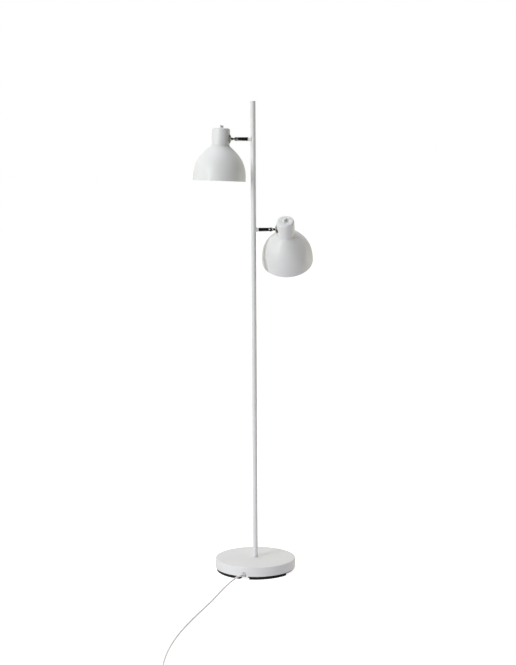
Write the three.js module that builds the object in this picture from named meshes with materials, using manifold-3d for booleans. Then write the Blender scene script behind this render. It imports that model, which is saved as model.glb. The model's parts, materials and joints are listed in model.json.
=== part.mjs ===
// Floor lamp with two adjustable heads on one pole. Millimetres, +Z up.
// The origin is on the pole's axis, on the floor. The front of the lamp is its -Y side.
// The upper head hangs on the -X side of the pole and the lower head on the +X side.
import * as THREE from 'three';
import { mergeVertices } from 'three/addons/utils/BufferGeometryUtils.js';
import Module from 'manifold-3d';

const wasm = await Module();
wasm.setup();

// ---------------------------------------------------------------- driving dimensions
const GAP = 0.3; // clearance between pieces that rest on each other
const DEGREE = Math.PI / 180;

const LAMP_HEIGHT = 1480;
const POLE_RADIUS = 8;
const POLE_WALL = 1.2;
const CAP_THICKNESS = 1.6;

const BASE_RADIUS = 127.5;
const BASE_TOP = 40;
const SHELL_BOTTOM = 10.2;
const SHELL_WALL = 1.5;
const SHELL_EDGE = 3; // rounding of the shell's top edge
const PLATE_RADIUS = 125;
const PLATE_THICKNESS = 3.8;
const BOSS_RADIUS = 20; // the plate's central boss, which stands on the floor as the pads do
const PAD_INNER = 107;
const PAD_OUTER = 123.5;
const PAD_SPAN = 61 * DEGREE;
const PAD_OFFSET = 37.5 * DEGREE; // between a pad's middle and the line through the cord's outlet
const WEIGHT_RADIUS = 118;
const WEIGHT_THICKNESS = 14;
const RECESS_RADIUS = 15; // for the nut under the weight
const RECESS_DEPTH = 8;

const OUTLET_ANGLE = -16 * DEGREE; // from the front, turning to the right
const OUTLET_RADIUS = 6;
const CORD_RADIUS = 3;
const CORD_EXIT_HEIGHT = 16.5;
const GLAND_ANGLE = -41 * DEGREE; // the gland points further to the left than the outlet
const GLAND_RADIUS = 4.2;
const GLAND_INSIDE = 14;
const GLAND_OUTSIDE = 13;

const STUD_RADIUS = 5;
const STUD_BORE = 3.2;
const LEAD_RADIUS = 2.4; // the sheathed lead inside the pole

const UPPER_ARM_HEIGHT = 1364;
const LOWER_ARM_HEIGHT = 1084;
const ARM_RADIUS = 6;
const ARM_BORE = 4.3;
const COLLAR_END = 15.5; // distances along the arm are from the pole's axis
const ARM_END = 47.2;
const WASHER_THICKNESS = 0.8;
const PIVOT_REACH = 53.5;
const NECK_REACH = 100;
const NIPPLE_START = 6;
const NIPPLE_END = 27;
const THREAD_RADIUS = 4;

const KNUCKLE_RADIUS = 6.4;
const KNUCKLE_ROUNDING = 6; // of the fork's end, about the pivot
const KNUCKLE_SPIGOT = 12;
const FORK_SLOT = 4.8;
const TONGUE_THICKNESS = 4.2;
const PIVOT_PIN_RADIUS = 1.4;
const PIVOT_HEAD_RADIUS = 2.7;
const PIVOT_HEAD_SEAT = 4.9;
const STEM_RADIUS = 4.2;
const STEM_THREAD_RADIUS = 3.4;

const NECK_RADIUS = 28;
const NECK_WALL = 1.2;
const NECK_TOP = 32; // heights on a head are from the arm's axis
const NECK_BOTTOM = -20.5;
const NECK_EDGE = 6.5;
const ROSETTE_RADIUS = 14.5;
const ROSETTE_RISE = 5.2;
const ROSETTE_WALL = 1.2;

const SHADE_RADIUS = 81.8;
const SHADE_RIM = -130.5;
const SHADE_TOP_RADIUS = 28.4;
const SHADE_WALL = 1.1;
const SHADE_CURVE_HEIGHT = 125; // from the rim to where the bell's curve would close
const SHADE_CURVE_POWER = 2.77; // 2 is a parabola, and more makes the side steeper
const SHADE_HOLE = 20.4;

const HOLDER_RADIUS = 19.6;
const HOLDER_BOTTOM = -44;
const HOLDER_TOP = 11;
const BULB_CAP_RADIUS = 13.2;
const BULB_RADIUS = 28;
const BULB_BOTTOM = -120;
const BULB_WALL = 1;
const SWITCH_RADIUS = 13;
const KNOB_RADIUS = 8;
const KNOB_HEIGHT = 8.2;
const KNOB_GRIP = 5; // thickness of the bar that the fingers hold
const KNOB_TURN = -40 * DEGREE;
const KNOB_SHAFT_RADIUS = 3;

const UPPER_TILT = 2.6 * DEGREE; // how far each head leans away from the pole
const LOWER_TILT = 3 * DEGREE;
const UPPER_TURN = 0;
const LOWER_TURN = 38 * DEGREE; // the lower head's top comes forward

const COIL_CENTRE = [-196, -1004];
const COIL_INNER = 24;
const COIL_OUTER = 42.4;
const COIL_BOTTOM = 1;
const COIL_TOP = 13.4;
const TIE_WIDTH = 9;
const TIE_WALL = 0.7;
const PLUG_LENGTH = 36;
const PLUG_WIDTH = 26;
const PLUG_THICKNESS = 14;
const PIN_RADIUS = 2;
const PIN_LENGTH = 19;
const PIN_SPACING = 18.6;

// ---------------------------------------------------------------- materials
const finish = (color, roughness, metalness) => ({ color, roughness, metalness });
const WHITE_PAINT = finish(0xeceef0, 0.42, 0);
const WHITE_PLASTIC = finish(0xe4e5e6, 0.45, 0);
const CHROME = finish(0xb8babd, 0.12, 1);
const SATIN_STEEL = finish(0xa6a7a8, 0.35, 1);
const ZINC = finish(0x9a9c9e, 0.4, 1);
const BRASS = finish(0xb99a55, 0.35, 1);
const CAST_IRON = finish(0x3a3a3c, 0.8, 0.6);
const BLACK_PLASTIC = finish(0x161617, 0.6, 0);
const BLACK_RUBBER = finish(0x0f0f10, 0.85, 0);
const OPAL_GLASS = finish(0xf4f1ea, 0.25, 0);

// ---------------------------------------------------------------- solids
/** A closed manifold-3d solid of a three.js geometry, with its faces turned outwards. */
function solidOf(geometry) {
  const bare = geometry.clone();
  bare.deleteAttribute('normal');
  bare.deleteAttribute('uv');
  const merged = mergeVertices(bare, 1e-4);
  const corners = [...merged.index.array];
  const triangles = [];
  for (let i = 0; i < corners.length; i += 3) {
    const [a, b, c] = corners.slice(i, i + 3);
    if (a !== b && b !== c && c !== a) triangles.push(a, b, c);
  }
  if (volumeOf(merged.attributes.position, triangles) < 0) triangles.reverse();
  const mesh = new wasm.Mesh({
    numProp: 3,
    vertProperties: new Float32Array(merged.attributes.position.array),
    triVerts: new Uint32Array(triangles),
  });
  return new wasm.Manifold(mesh);
}

function volumeOf(position, triangles) {
  const [a, b, c] = [0, 1, 2].map(() => new THREE.Vector3());
  let volume = 0;
  for (let i = 0; i < triangles.length; i += 3) {
    a.fromBufferAttribute(position, triangles[i]);
    b.fromBufferAttribute(position, triangles[i + 1]);
    c.fromBufferAttribute(position, triangles[i + 2]);
    volume += a.dot(b.cross(c)) / 6;
  }
  return volume;
}

function geometryOf(solid) {
  const mesh = solid.getMesh();
  const geometry = new THREE.BufferGeometry();
  geometry.setAttribute('position', new THREE.BufferAttribute(mesh.vertProperties, 3));
  geometry.setIndex(new THREE.BufferAttribute(mesh.triVerts, 1));
  return geometry;
}

const cut = (body, ...tools) =>
  geometryOf(tools.reduce((solid, tool) => solid.subtract(solidOf(tool)), solidOf(body)));
const join = (...bodies) =>
  geometryOf(bodies.map(solidOf).reduce((solid, other) => solid.add(other)));
const common = (body, other) => geometryOf(solidOf(body).intersect(solidOf(other)));

/** A body turned about Z from [radius, height] points; a hollow one closes on itself. */
function turned(points, segments = 32) {
  const profile = points.map(([radius, height]) => new THREE.Vector2(radius, height));
  const hollow = points[0][0] > 0;
  if (hollow) profile.push(profile[0].clone());
  return geometryOf(solidOf(new THREE.LatheGeometry(profile, segments).rotateX(Math.PI / 2)));
}

const disc = (radius, low, high, segments) =>
  turned([[0, low], [radius, low], [radius, high], [0, high]], segments);
const tube = (outer, inner, low, high, segments) =>
  turned([[inner, low], [outer, low], [outer, high], [inner, high]], segments);
const block = (x, y, z) => new THREE.BoxGeometry(x, y, z);

/** Turns a body that was made about Z to lie along +X, or along +Y. */
const alongX = (geometry) => geometry.rotateY(Math.PI / 2);
const alongY = (geometry) => geometry.rotateX(-Math.PI / 2);

/** Points on a quarter arc, from one angle to another in degrees. */
function arc(centreRadius, centreHeight, radius, from, to, steps) {
  return Array.from({ length: steps + 1 }, (_, i) => {
    const angle = (from + ((to - from) * i) / steps) * DEGREE;
    return [centreRadius + radius * Math.cos(angle), centreHeight + radius * Math.sin(angle)];
  });
}

function meshOf(name, geometry, material) {
  const mesh = new THREE.Mesh(geometry, new THREE.MeshStandardMaterial(material));
  mesh.name = name;
  return mesh;
}

/** The direction on the floor at an angle from the front, turning to the right. */
const heading = (angle) => new THREE.Vector2(Math.sin(angle), -Math.cos(angle));

// ---------------------------------------------------------------- base
function baseShell() {
  const inner = BASE_RADIUS - SHELL_WALL;
  const ceiling = BASE_TOP - SHELL_WALL;
  const hole = STUD_RADIUS + GAP;
  const edge = BASE_RADIUS - SHELL_EDGE;
  const shell = turned([
    [inner, SHELL_BOTTOM],
    [BASE_RADIUS, SHELL_BOTTOM],
    ...arc(edge, BASE_TOP - SHELL_EDGE, SHELL_EDGE, 0, 90, 3),
    [hole, BASE_TOP],
    [hole, ceiling],
    ...arc(edge, BASE_TOP - SHELL_EDGE, SHELL_EDGE - SHELL_WALL, 90, 0, 1),
  ], 44);
  const wayOut = alongY(disc(OUTLET_RADIUS, -20, 20, 24)).rotateZ(OUTLET_ANGLE);
  const slot = block(2 * OUTLET_RADIUS, 40, CORD_EXIT_HEIGHT).rotateZ(OUTLET_ANGLE);
  const { x, y } = heading(OUTLET_ANGLE).multiplyScalar(BASE_RADIUS);
  wayOut.translate(x, y, CORD_EXIT_HEIGHT);
  slot.translate(x, y, CORD_EXIT_HEIGHT / 2);
  return cut(shell, wayOut, slot);
}

function baseWeight() {
  const top = BASE_TOP - SHELL_WALL - GAP;
  const bottom = top - WEIGHT_THICKNESS;
  const hole = STUD_RADIUS + GAP;
  return turned([
    [RECESS_RADIUS, bottom],
    [WEIGHT_RADIUS - 2, bottom],
    [WEIGHT_RADIUS, bottom + 2],
    [WEIGHT_RADIUS, top],
    [hole, top],
    [hole, bottom + RECESS_DEPTH],
    [RECESS_RADIUS, bottom + RECESS_DEPTH],
  ], 36);
}

function basePlate() {
  const top = SHELL_BOTTOM - GAP;
  const notch = block(24, 24, 30).translate(0, -PLATE_RADIUS, top).rotateZ(OUTLET_ANGLE);
  const plate = cut(disc(PLATE_RADIUS, top - PLATE_THICKNESS, top, 48), notch);
  return join(plate, disc(BOSS_RADIUS, 0, top - 1, 32));
}

/** One of the arc-shaped pads that the base stands on. */
function footPad(angle) {
  const middle = angle - Math.PI / 2;
  const outline = new THREE.Shape();
  outline.absarc(0, 0, PAD_OUTER, middle - PAD_SPAN / 2, middle + PAD_SPAN / 2, false);
  outline.absarc(0, 0, PAD_INNER, middle + PAD_SPAN / 2, middle - PAD_SPAN / 2, true);
  const height = SHELL_BOTTOM - PLATE_THICKNESS - 2 * GAP;
  return new THREE.ExtrudeGeometry(outline, { depth: height, bevelEnabled: false, curveSegments: 6 });
}

/** The gland that the cord leaves through: a sleeve that tapers outside the wall. */
function cordGland() {
  const sleeve = turned([
    [0, -GLAND_INSIDE],
    [GLAND_RADIUS, -GLAND_INSIDE],
    [GLAND_RADIUS, 2],
    [CORD_RADIUS + 0.7, GLAND_OUTSIDE],
    [0, GLAND_OUTSIDE],
  ], 20);
  const { x, y } = heading(OUTLET_ANGLE).multiplyScalar(BASE_RADIUS);
  return alongY(sleeve).rotateX(Math.PI).rotateZ(GLAND_ANGLE).translate(x, y, CORD_EXIT_HEIGHT);
}

/** Where the gland's axis is, at a distance out from the shell's wall. */
function glandPoint(distance) {
  const wall = heading(OUTLET_ANGLE).multiplyScalar(BASE_RADIUS);
  const out = heading(GLAND_ANGLE).multiplyScalar(distance);
  return new THREE.Vector3(wall.x + out.x, wall.y + out.y, CORD_EXIT_HEIGHT);
}

/** A straight round rod between two points. */
function rodBetween(from, to, radius, segments = 12) {
  const along = to.clone().sub(from);
  const rod = disc(radius, 0, along.length(), segments);
  const turn = new THREE.Quaternion().setFromUnitVectors(new THREE.Vector3(0, 0, 1), along.normalize());
  return rod.applyQuaternion(turn).translate(from.x, from.y, from.z);
}

const TERMINAL = { width: 22, depth: 18, height: 8, bottom: SHELL_BOTTOM + GAP };

function baseLead() {
  const edge = new THREE.Vector3(-3.5, -TERMINAL.depth / 2 - 1.2, CORD_EXIT_HEIGHT - 1);
  return rodBetween(glandPoint(-GLAND_INSIDE - 2), edge, CORD_RADIUS);
}

function hexNut(acrossFlats, bore, low, high) {
  const corner = acrossFlats / Math.sqrt(3);
  const hexagon = new THREE.CylinderGeometry(corner, corner, high - low, 6).rotateX(Math.PI / 2);
  return cut(hexagon.translate(0, 0, (low + high) / 2), disc(bore, low - 1, high + 1, 20));
}

function baseAssembly() {
  const group = new THREE.Group();
  const weightBottom = BASE_TOP - SHELL_WALL - GAP - WEIGHT_THICKNESS;
  const recessTop = weightBottom + RECESS_DEPTH;
  const washerLow = recessTop - GAP - 1.4;
  const nutHigh = washerLow - GAP;
  const nutLow = nutHigh - 4.5;
  group.add(
    meshOf('base_shell', baseShell(), WHITE_PAINT),
    meshOf('base_weight', baseWeight(), CAST_IRON),
    meshOf('base_plate', basePlate(), BLACK_PLASTIC),
    meshOf('stud_washer', tube(11, STUD_RADIUS + GAP, washerLow, recessTop - GAP, 16), ZINC),
    meshOf('stud_nut', hexNut(17, STUD_RADIUS + GAP, nutLow, nutHigh), ZINC),
    meshOf('pole_stud', tube(STUD_RADIUS, STUD_BORE, nutLow - 0.5, BASE_TOP + 30, 20), ZINC),
    meshOf('cord_gland', cordGland(), WHITE_PLASTIC),
    meshOf('base_lead', baseLead(), WHITE_PLASTIC),
  );
  const terminal = block(TERMINAL.width, TERMINAL.depth, TERMINAL.height);
  terminal.translate(0, 0, TERMINAL.bottom + TERMINAL.height / 2);
  group.add(meshOf('terminal_block', terminal, WHITE_PLASTIC));
  for (let i = 0; i < 4; i += 1) {
    const pad = footPad(OUTLET_ANGLE + (i < 2 ? 0 : Math.PI) + (i % 2 ? PAD_OFFSET : -PAD_OFFSET));
    group.add(meshOf(`foot_pad_${i + 1}`, pad, BLACK_RUBBER));
  }
  return group;
}

// ---------------------------------------------------------------- pole
function pole() {
  const inner = POLE_RADIUS - POLE_WALL;
  const top = LAMP_HEIGHT - CAP_THICKNESS - GAP;
  const body = tube(POLE_RADIUS, inner, BASE_TOP + GAP, top, 24);
  const holes = [[UPPER_ARM_HEIGHT, -1], [LOWER_ARM_HEIGHT, 1]].map(([height, side]) =>
    alongX(disc(THREAD_RADIUS + GAP, 0, 2 * POLE_RADIUS, 20)).scale(side, 1, 1).translate(0, 0, height));
  return cut(body, ...holes);
}

function poleCap() {
  const spigot = POLE_RADIUS - POLE_WALL - GAP;
  const bottom = LAMP_HEIGHT - CAP_THICKNESS;
  return turned([
    [0, bottom - 12],
    [spigot, bottom - 12],
    [spigot, bottom],
    [POLE_RADIUS, bottom],
    [POLE_RADIUS, LAMP_HEIGHT - 0.6],
    [POLE_RADIUS - 0.6, LAMP_HEIGHT],
    [0, LAMP_HEIGHT],
  ], 24);
}

function poleAssembly() {
  const group = new THREE.Group();
  const insert = tube(POLE_RADIUS - POLE_WALL - GAP, STUD_RADIUS + GAP, BASE_TOP + GAP, BASE_TOP + 28, 16);
  const leadTop = UPPER_ARM_HEIGHT - THREAD_RADIUS;
  const leadBottom = TERMINAL.bottom + TERMINAL.height + GAP;
  group.add(
    meshOf('pole', pole(), WHITE_PAINT),
    meshOf('pole_cap', poleCap(), WHITE_PAINT),
    meshOf('pole_insert', insert, ZINC),
    meshOf('pole_lead', disc(LEAD_RADIUS, leadBottom, leadTop, 10), WHITE_PLASTIC),
  );
  return group;
}

// ---------------------------------------------------------------- arm, made along +X from the pole's axis
function collar() {
  const boss = alongX(tube(ARM_RADIUS, ARM_BORE, 3, COLLAR_END, 24));
  return cut(boss, disc(POLE_RADIUS + GAP, -20, 20, 24));
}

function armPieces(place) {
  const nipple = tube(THREAD_RADIUS, THREAD_RADIUS - 1.4, NIPPLE_START, NIPPLE_END, 20);
  const washer = tube(ARM_RADIUS + 0.2, ARM_BORE, ARM_END + GAP, ARM_END + GAP + WASHER_THICKNESS, 18);
  const arm = tube(ARM_RADIUS, ARM_BORE, COLLAR_END + GAP, ARM_END, 24);
  return [
    meshOf(`${place}_collar`, collar(), WHITE_PAINT),
    meshOf(`${place}_nipple`, alongX(nipple), ZINC),
    meshOf(`${place}_arm_tube`, alongX(arm), CHROME),
    meshOf(`${place}_friction_washer`, alongX(washer), CHROME),
  ];
}

// ---------------------------------------------------------------- knuckle, made about its pivot
/** The forked end of the arm: a spigot in the arm tube, and two cheeks rounded about the pivot. */
function knuckle() {
  const start = ARM_END + 2 * GAP + WASHER_THICKNESS - PIVOT_REACH;
  const spigot = alongX(disc(THREAD_RADIUS, start - KNUCKLE_SPIGOT, start + 1, 16));
  const body = alongX(disc(KNUCKLE_RADIUS, start, KNUCKLE_ROUNDING + 2, 24));
  const end = alongY(disc(KNUCKLE_ROUNDING, -10, 10, 24));
  const middle = block(-start, 20, 20).translate(start / 2, 0, 0);
  const rounded = common(body, join(end, middle));
  const slot = block(20, FORK_SLOT, 20).translate(10 - KNUCKLE_ROUNDING + 1.6, 0, 0);
  const pinHole = alongY(disc(PIVOT_PIN_RADIUS + GAP, -10, 10, 16));
  const seatRadius = PIVOT_HEAD_RADIUS + GAP;
  const seats = [
    alongY(disc(seatRadius, PIVOT_HEAD_SEAT, 10, 20)),
    alongY(disc(seatRadius, -10, -PIVOT_HEAD_SEAT, 20)),
  ];
  return cut(join(rounded, spigot), slot, pinHole, ...seats);
}

function pivotScrew() {
  const seat = PIVOT_HEAD_SEAT + GAP;
  const shank = disc(PIVOT_PIN_RADIUS, -seat - 0.5, seat + 1, 14);
  const head = disc(PIVOT_HEAD_RADIUS, -seat - 1.3, -seat, 18);
  return alongY(join(shank, head));
}

function pivotNut() {
  const seat = PIVOT_HEAD_SEAT + GAP;
  return alongY(hexNut(2 * PIVOT_HEAD_RADIUS * 0.86, PIVOT_PIN_RADIUS + GAP / 2, seat, seat + 1.2));
}

function knucklePieces(place) {
  return [
    meshOf(`${place}_knuckle`, knuckle(), CHROME),
    meshOf(`${place}_pivot_screw`, pivotScrew(), CHROME),
    meshOf(`${place}_pivot_nut`, pivotNut(), CHROME),
  ];
}

// ---------------------------------------------------------------- head, made about its pivot at the origin
const NECK_AXIS = NECK_REACH - PIVOT_REACH;
const WALL_OUTSIDE = NECK_AXIS - NECK_RADIUS;
const STEM_SHOULDER = KNUCKLE_ROUNDING + 0.4;
const ROSETTE_APEX = WALL_OUTSIDE - ROSETTE_RISE - GAP;

/** The stem: an eye in the fork, a round neck, and a thread through the head's wall. */
function stem() {
  const eye = alongY(disc(3.9, -TONGUE_THICKNESS / 2, TONGUE_THICKNESS / 2, 24));
  const tongue = block(STEM_SHOULDER + 1, TONGUE_THICKNESS, 6.4).translate((STEM_SHOULDER + 1) / 2, 0, 0);
  const neck = alongX(disc(STEM_RADIUS, STEM_SHOULDER, ROSETTE_APEX + ROSETTE_WALL - 0.2, 24));
  const thread = alongX(disc(STEM_THREAD_RADIUS, ROSETTE_APEX - 1, WALL_OUTSIDE + 8, 20));
  const hole = alongY(disc(PIVOT_PIN_RADIUS + GAP, -10, 10, 16));
  return cut(join(eye, tongue, neck, thread), hole);
}

/** The domed dish between the stem and the neck, its rim cut to lie on the round neck. */
function rosette() {
  const apex = ROSETTE_APEX + ROSETTE_WALL;
  const hole = STEM_RADIUS + GAP;
  const steps = 3;
  const dome = (radius, lift) => Array.from({ length: steps + 1 }, (_, i) => {
    const across = hole + ((radius - hole) * i) / steps;
    return [across, apex - ROSETTE_WALL + lift + ROSETTE_RISE * (across / ROSETTE_RADIUS) ** 2];
  });
  const outside = dome(ROSETTE_RADIUS, 0);
  const inside = dome(ROSETTE_RADIUS - ROSETTE_WALL, ROSETTE_WALL).reverse();
  const skirt = [[ROSETTE_RADIUS, apex + 14], [ROSETTE_RADIUS - ROSETTE_WALL, apex + 14]];
  const cup = alongX(turned([...outside, ...skirt, ...inside], 24));
  const neck = disc(NECK_RADIUS + GAP, -40, 40, 40).translate(NECK_AXIS, 0, 0);
  return cut(cup, neck);
}

function neckCover() {
  const inner = NECK_RADIUS - NECK_WALL;
  const edgeHeight = NECK_TOP - NECK_EDGE;
  const edgeRadius = NECK_RADIUS - NECK_EDGE;
  const hole = KNOB_SHAFT_RADIUS + GAP;
  const cover = turned([
    [inner, NECK_BOTTOM],
    [NECK_RADIUS, NECK_BOTTOM],
    ...arc(edgeRadius, edgeHeight, NECK_EDGE, 0, 90, 3),
    [hole, NECK_TOP],
    [hole, NECK_TOP - NECK_WALL],
    ...arc(edgeRadius, edgeHeight, NECK_EDGE - NECK_WALL, 90, 0, 2),
  ], 32);
  const wayIn = alongX(disc(STEM_THREAD_RADIUS + GAP, -NECK_RADIUS - 5, -NECK_RADIUS + 5, 20));
  return cut(cover, wayIn);
}

/** The bell: a power curve turned about the neck's axis, with a flange to hold it by. */
function shade() {
  const top = NECK_BOTTOM - GAP;
  const steps = 7;
  const bell = (inset) => Array.from({ length: steps + 1 }, (_, i) => {
    const height = ((top - inset - SHADE_RIM) * i) / steps;
    const share = 1 - (height / (SHADE_CURVE_HEIGHT - inset)) ** SHADE_CURVE_POWER;
    const radius = Math.max((SHADE_RADIUS - inset) * share, SHADE_TOP_RADIUS - inset);
    return [radius, SHADE_RIM + height];
  });
  const outside = bell(0);
  const inside = bell(SHADE_WALL).reverse();
  return turned([...outside, [SHADE_HOLE, top], [SHADE_HOLE, top - SHADE_WALL], ...inside], 28);
}

function lampholder() {
  const shoulder = NECK_BOTTOM - GAP;
  const bore = BULB_CAP_RADIUS + GAP + 0.3;
  return turned([
    [bore, HOLDER_BOTTOM],
    [HOLDER_RADIUS, HOLDER_BOTTOM],
    [HOLDER_RADIUS, shoulder + GAP],
    [HOLDER_RADIUS + 4, shoulder + GAP],
    [HOLDER_RADIUS + 4, shoulder + 4],
    [HOLDER_RADIUS - 2, HOLDER_TOP - 6],
    [HOLDER_RADIUS - 8, HOLDER_TOP],
    [0, HOLDER_TOP],
    [0, shoulder + 6],
    [bore, shoulder + 6],
  ], 22);
}

/** The threaded ring under the shade's flange that clamps it to the lampholder. */
function shadeRing() {
  const top = NECK_BOTTOM - 2 * GAP - SHADE_WALL;
  return tube(HOLDER_RADIUS + 4, HOLDER_RADIUS + GAP, top - 5, top, 22);
}

/** The bulb's glass: a thin round envelope, open where its cap goes on. */
function bulbGlass() {
  const centre = BULB_BOTTOM + BULB_RADIUS;
  const open = HOLDER_BOTTOM - GAP;
  const side = (inset) => [
    [0, BULB_BOTTOM + inset],
    ...arc(0, centre, BULB_RADIUS - inset, -75, 42, 5),
    [BULB_CAP_RADIUS + 2 - inset, open - 12],
    [BULB_CAP_RADIUS - inset, open],
  ];
  return turned([...side(0), ...side(BULB_WALL).reverse()], 14);
}

function switchKnob() {
  const low = NECK_TOP + GAP;
  const shaft = disc(KNOB_SHAFT_RADIUS, NECK_TOP - NECK_WALL - 3, low + 1, 16);
  const skirt = disc(KNOB_RADIUS, low, low + 2.4, 20);
  const grip = block(KNOB_GRIP, 2 * KNOB_RADIUS, KNOB_HEIGHT).rotateZ(KNOB_TURN);
  grip.translate(0, 0, low + KNOB_HEIGHT / 2);
  const round = disc(KNOB_RADIUS, low, low + KNOB_HEIGHT, 20);
  return join(shaft, skirt, common(grip, round));
}

function switchBody() {
  const top = NECK_TOP - NECK_WALL - GAP;
  const low = HOLDER_TOP + 2;
  const pocket = disc(KNOB_SHAFT_RADIUS + GAP, top - 4, top + 1, 16);
  return cut(disc(SWITCH_RADIUS, low, top, 18), pocket);
}

function headPieces(place) {
  const onNeck = (name, geometry, material) =>
    meshOf(`${place}_${name}`, geometry.translate(NECK_AXIS, 0, 0), material);
  const nut = alongX(hexNut(10, STEM_THREAD_RADIUS + GAP, 0, 3.5));
  nut.translate(WALL_OUTSIDE + NECK_WALL + 2.2, 0, 0);
  const capTop = NECK_BOTTOM + 5 - GAP;
  return [
    meshOf(`${place}_stem`, stem(), CHROME),
    meshOf(`${place}_rosette`, rosette(), SATIN_STEEL),
    meshOf(`${place}_stem_nut`, nut, ZINC),
    onNeck('neck_cover', neckCover(), WHITE_PAINT),
    onNeck('shade', shade(), WHITE_PAINT),
    onNeck('lampholder', lampholder(), WHITE_PLASTIC),
    onNeck('shade_ring', shadeRing(), WHITE_PLASTIC),
    onNeck('bulb_cap', disc(BULB_CAP_RADIUS, HOLDER_BOTTOM, capTop, 18), ZINC),
    onNeck('bulb_glass', bulbGlass(), OPAL_GLASS),
    onNeck('switch_body', switchBody(), BLACK_PLASTIC),
    onNeck('switch_knob', switchKnob(), WHITE_PLASTIC),
  ];
}

/** One arm with its knuckle and head. Side is -1 to the left of the pole and 1 to the right. */
function armAssembly(place, side, height, turn, tilt) {
  const arm = new THREE.Group();
  arm.add(...armPieces(place));
  const turning = new THREE.Group();
  turning.position.set(PIVOT_REACH, 0, 0);
  turning.rotation.x = turn * side;
  turning.add(...knucklePieces(place));
  const head = new THREE.Group();
  head.rotation.y = -tilt;
  head.add(...headPieces(place));
  turning.add(head);
  arm.add(turning);
  arm.rotation.z = side < 0 ? Math.PI : 0;
  arm.position.z = height;
  return arm;
}

// ---------------------------------------------------------------- cord, coil and plug
/** The cord's way over the floor: down from the gland, forward in a loose curve, to the coil. */
const CORD_ROUTE = [
  [-54, -139.5, 15.2],
  [-66, -150, 9.8],
  [-77, -165, 5.2],
  [-86, -186, 3.3],
  [-94, -213, 3],
  [-102, -243, 3],
  [-110, -275, 3],
  [-121, -320, 3],
  [-136, -375, 3],
  [-155, -440, 3],
  [-176, -515, 3],
  [-197, -595, 3],
  [-215, -680, 3],
  [-228, -765, 3],
  [-235, -850, 3],
  [-236, -920, 3.2],
  [-235, -960, 4],
];

/** The cord's end: off the coil's upper turns and down into the plug. */
const TAIL_ROUTE = [
  [-168, -1040, 10],
  [-158, -1040.3, 9.4],
  [-147, -1040.8, 8],
  [-136, -1041, 7.1],
];
const PLUG_PLACE = [-135.7, -1041, PLUG_THICKNESS / 2];

function tubeAlong(points, steps) {
  const section = new THREE.Shape();
  section.absarc(0, 0, CORD_RADIUS, 0, 2 * Math.PI, false);
  const path = new THREE.CatmullRomCurve3(points);
  return new THREE.ExtrudeGeometry(section, { steps, curveSegments: 4, extrudePath: path });
}

const pointsOf = (route) => route.map((point) => new THREE.Vector3(...point));

function cordTube() {
  const start = [glandPoint(GLAND_OUTSIDE + GAP), glandPoint(GLAND_OUTSIDE + 7)];
  return tubeAlong([...start, ...pointsOf(CORD_ROUTE)], 52);
}

function coilAssembly() {
  const group = new THREE.Group();
  const tie = tieLoop();
  group.add(
    meshOf('cord_coil', tube(COIL_OUTER, COIL_INNER, COIL_BOTTOM, COIL_TOP, 28), WHITE_PLASTIC),
    meshOf('coil_tie', tie, BLACK_PLASTIC),
  );
  group.position.set(...COIL_CENTRE, 0);
  return group;
}

/** The strap round the coil's turns, on the side away from the lamp. */
function tieLoop() {
  const outer = COIL_OUTER + GAP + TIE_WALL;
  const inner = COIL_INNER - 3 * GAP - TIE_WALL;
  const top = COIL_TOP + GAP + TIE_WALL;
  const frame = block(outer - inner, TIE_WIDTH, top).translate((outer + inner) / 2, 0, top / 2);
  const hollow = block(outer - inner - 2 * TIE_WALL, TIE_WIDTH + 2, top - 2 * TIE_WALL);
  hollow.translate((outer + inner) / 2, 0, top / 2);
  return cut(frame, hollow);
}

/** A flat two-pin plug lying on the floor, its cord entry at its own origin and its pins to +X. */
function plugAssembly() {
  const group = new THREE.Group();
  const outline = new THREE.Shape([
    [0, -6], [PLUG_LENGTH * 0.55, -PLUG_WIDTH / 2], [PLUG_LENGTH, -PLUG_WIDTH / 2],
    [PLUG_LENGTH, PLUG_WIDTH / 2], [PLUG_LENGTH * 0.55, PLUG_WIDTH / 2], [0, 6],
  ].map(([x, y]) => new THREE.Vector2(x, y)));
  const body = new THREE.ExtrudeGeometry(outline, { depth: PLUG_THICKNESS, bevelEnabled: false });
  group.add(meshOf('plug_body', body.translate(0, 0, -PLUG_THICKNESS / 2), WHITE_PLASTIC));
  [-1, 1].forEach((side, i) => {
    const pin = alongX(disc(PIN_RADIUS, PLUG_LENGTH + GAP, PLUG_LENGTH + PIN_LENGTH, 16));
    group.add(meshOf(`plug_pin_${i + 1}`, pin.translate(0, (side * PIN_SPACING) / 2, 0), BRASS));
  });
  group.position.set(...PLUG_PLACE);
  return group;
}

const lamp = new THREE.Group();
lamp.add(
  baseAssembly(),
  poleAssembly(),
  armAssembly('upper', -1, UPPER_ARM_HEIGHT, UPPER_TURN, UPPER_TILT),
  armAssembly('lower', 1, LOWER_ARM_HEIGHT, LOWER_TURN, LOWER_TILT),
  meshOf('power_cord', cordTube(), WHITE_PLASTIC),
  coilAssembly(),
  meshOf('cord_tail', tubeAlong(pointsOf(TAIL_ROUTE), 12), WHITE_PLASTIC),
  plugAssembly(),
);
export default lamp;
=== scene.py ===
import json
import math

import bmesh
import bpy
from mathutils import Matrix, Vector


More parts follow.
